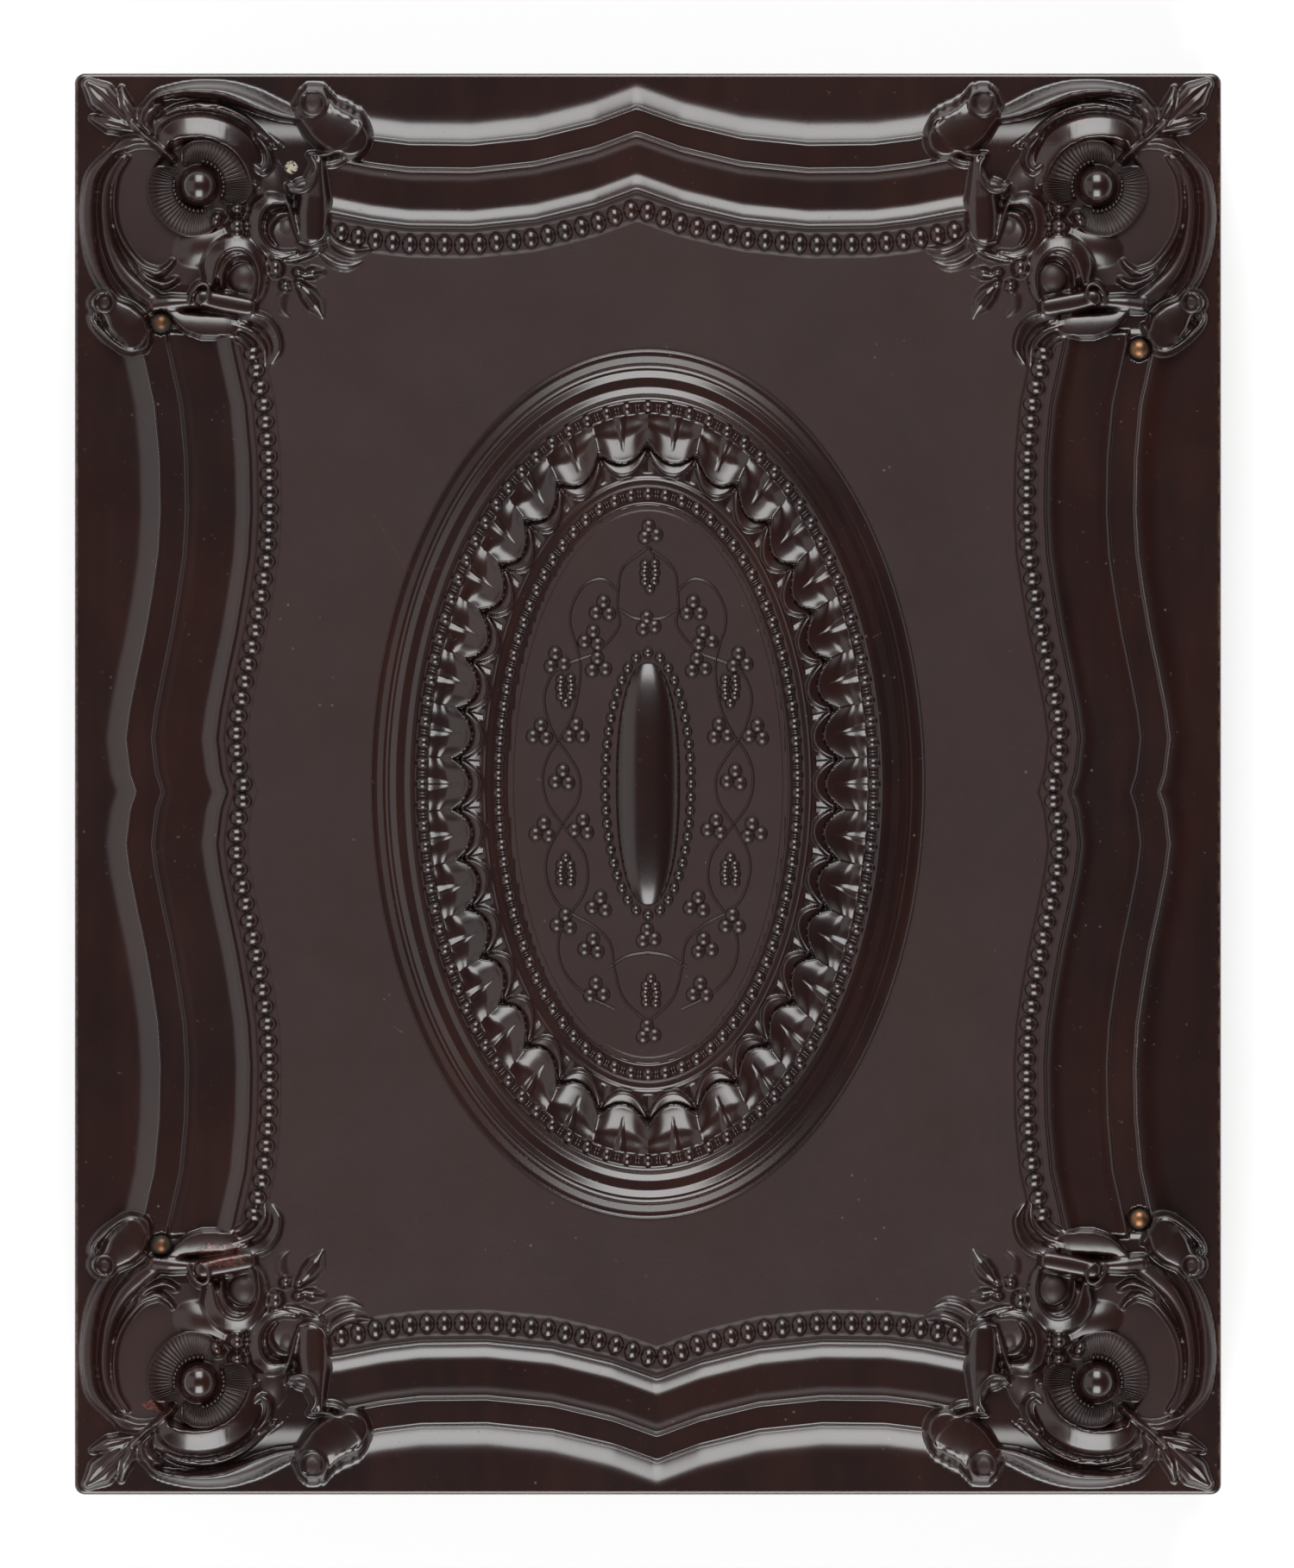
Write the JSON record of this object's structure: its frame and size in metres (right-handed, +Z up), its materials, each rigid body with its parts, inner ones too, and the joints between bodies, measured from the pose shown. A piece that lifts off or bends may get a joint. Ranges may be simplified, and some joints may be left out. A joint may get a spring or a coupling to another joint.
{
  "type": "union case",
  "caption": "Moulded hinged case for a half-plate picture, closed: relief faces, riveted brass hinges and hook clasps, with a glazed plate packet and velvet pad inside.",
  "frame": {"origin": "bottom centre of the whole closed case, where the middle boss of the base's relief rests", "axes": "+X across the case from the hinges to the clasps, +Y along its long side, +Z up through the closed cover"},
  "size_m": [0.1242, 0.154, 0.026],
  "materials": {
    "moulded_brown": "very dark brown moulding composition, polished on the mouldings and stippled matt on the flats",
    "gilt_brass": "old gilt brass, slightly tarnished",
    "copper_pins": "copper pins, worn bright in the middle and dark with a greenish rim at the edge",
    "silvered_plate": "blank silvered copper plate, polished, with toning at its edges",
    "cover_glass": "clear old cover glass",
    "red_velvet": "dark red velvet, short pile",
    "pad_card": "buff pressed card"
  },
  "bodies": {
    "base": {"base_shell": "moulded_brown", "base_hinge_leaf_upper": "gilt_brass", "base_hinge_leaf_lower": "gilt_brass", "base_hinge_rivet_upper": "copper_pins", "base_hinge_rivet_lower": "copper_pins", "base_clasp_strap_upper": "gilt_brass", "base_clasp_strap_lower": "gilt_brass", "base_clasp_rivet_upper": "copper_pins", "base_clasp_rivet_lower": "copper_pins", "clasp_pivot_upper": "gilt_brass", "clasp_pivot_lower": "gilt_brass", "hinge_pin_upper": "gilt_brass", "hinge_pin_lower": "gilt_brass", "image_plate": "silvered_plate", "brass_mat": "gilt_brass", "cover_glass": "cover_glass", "preserver_frame": "gilt_brass", "velvet_strip": "red_velvet"},
    "cover": {"cover_shell": "moulded_brown", "cover_hinge_leaf_upper": "gilt_brass", "cover_hinge_leaf_lower": "gilt_brass", "cover_hinge_rivet_upper": "copper_pins", "cover_hinge_rivet_lower": "copper_pins", "cover_clasp_strap_upper": "gilt_brass", "cover_clasp_strap_lower": "gilt_brass", "cover_clasp_rivet_upper": "copper_pins", "cover_clasp_rivet_lower": "copper_pins", "clasp_stud_upper": "gilt_brass", "clasp_stud_lower": "gilt_brass", "pad_board": "pad_card", "velvet_pad": "red_velvet"},
    "clasp_hook_upper": {"clasp_hook_upper": "gilt_brass"},
    "clasp_hook_lower": {"clasp_hook_lower": "gilt_brass"}
  },
  "joints": [
    {"name": "cover_hinge", "type": "hinge", "parent": "base", "child": "cover", "pos_m": [-0.0608, 0, 0.013], "axis": [0, -1, 0], "range_deg": [0, 155]},
    {"name": "clasp_swing_upper", "type": "hinge", "parent": "base", "child": "clasp_hook_upper", "pos_m": [0.06095, 0.0471, 0.0098], "axis": [-1, 0, 0], "range_deg": [0, 90]},
    {"name": "clasp_swing_lower", "type": "hinge", "parent": "base", "child": "clasp_hook_lower", "pos_m": [0.06095, -0.0471, 0.0098], "axis": [1, 0, 0], "range_deg": [0, 90]}
  ]
}
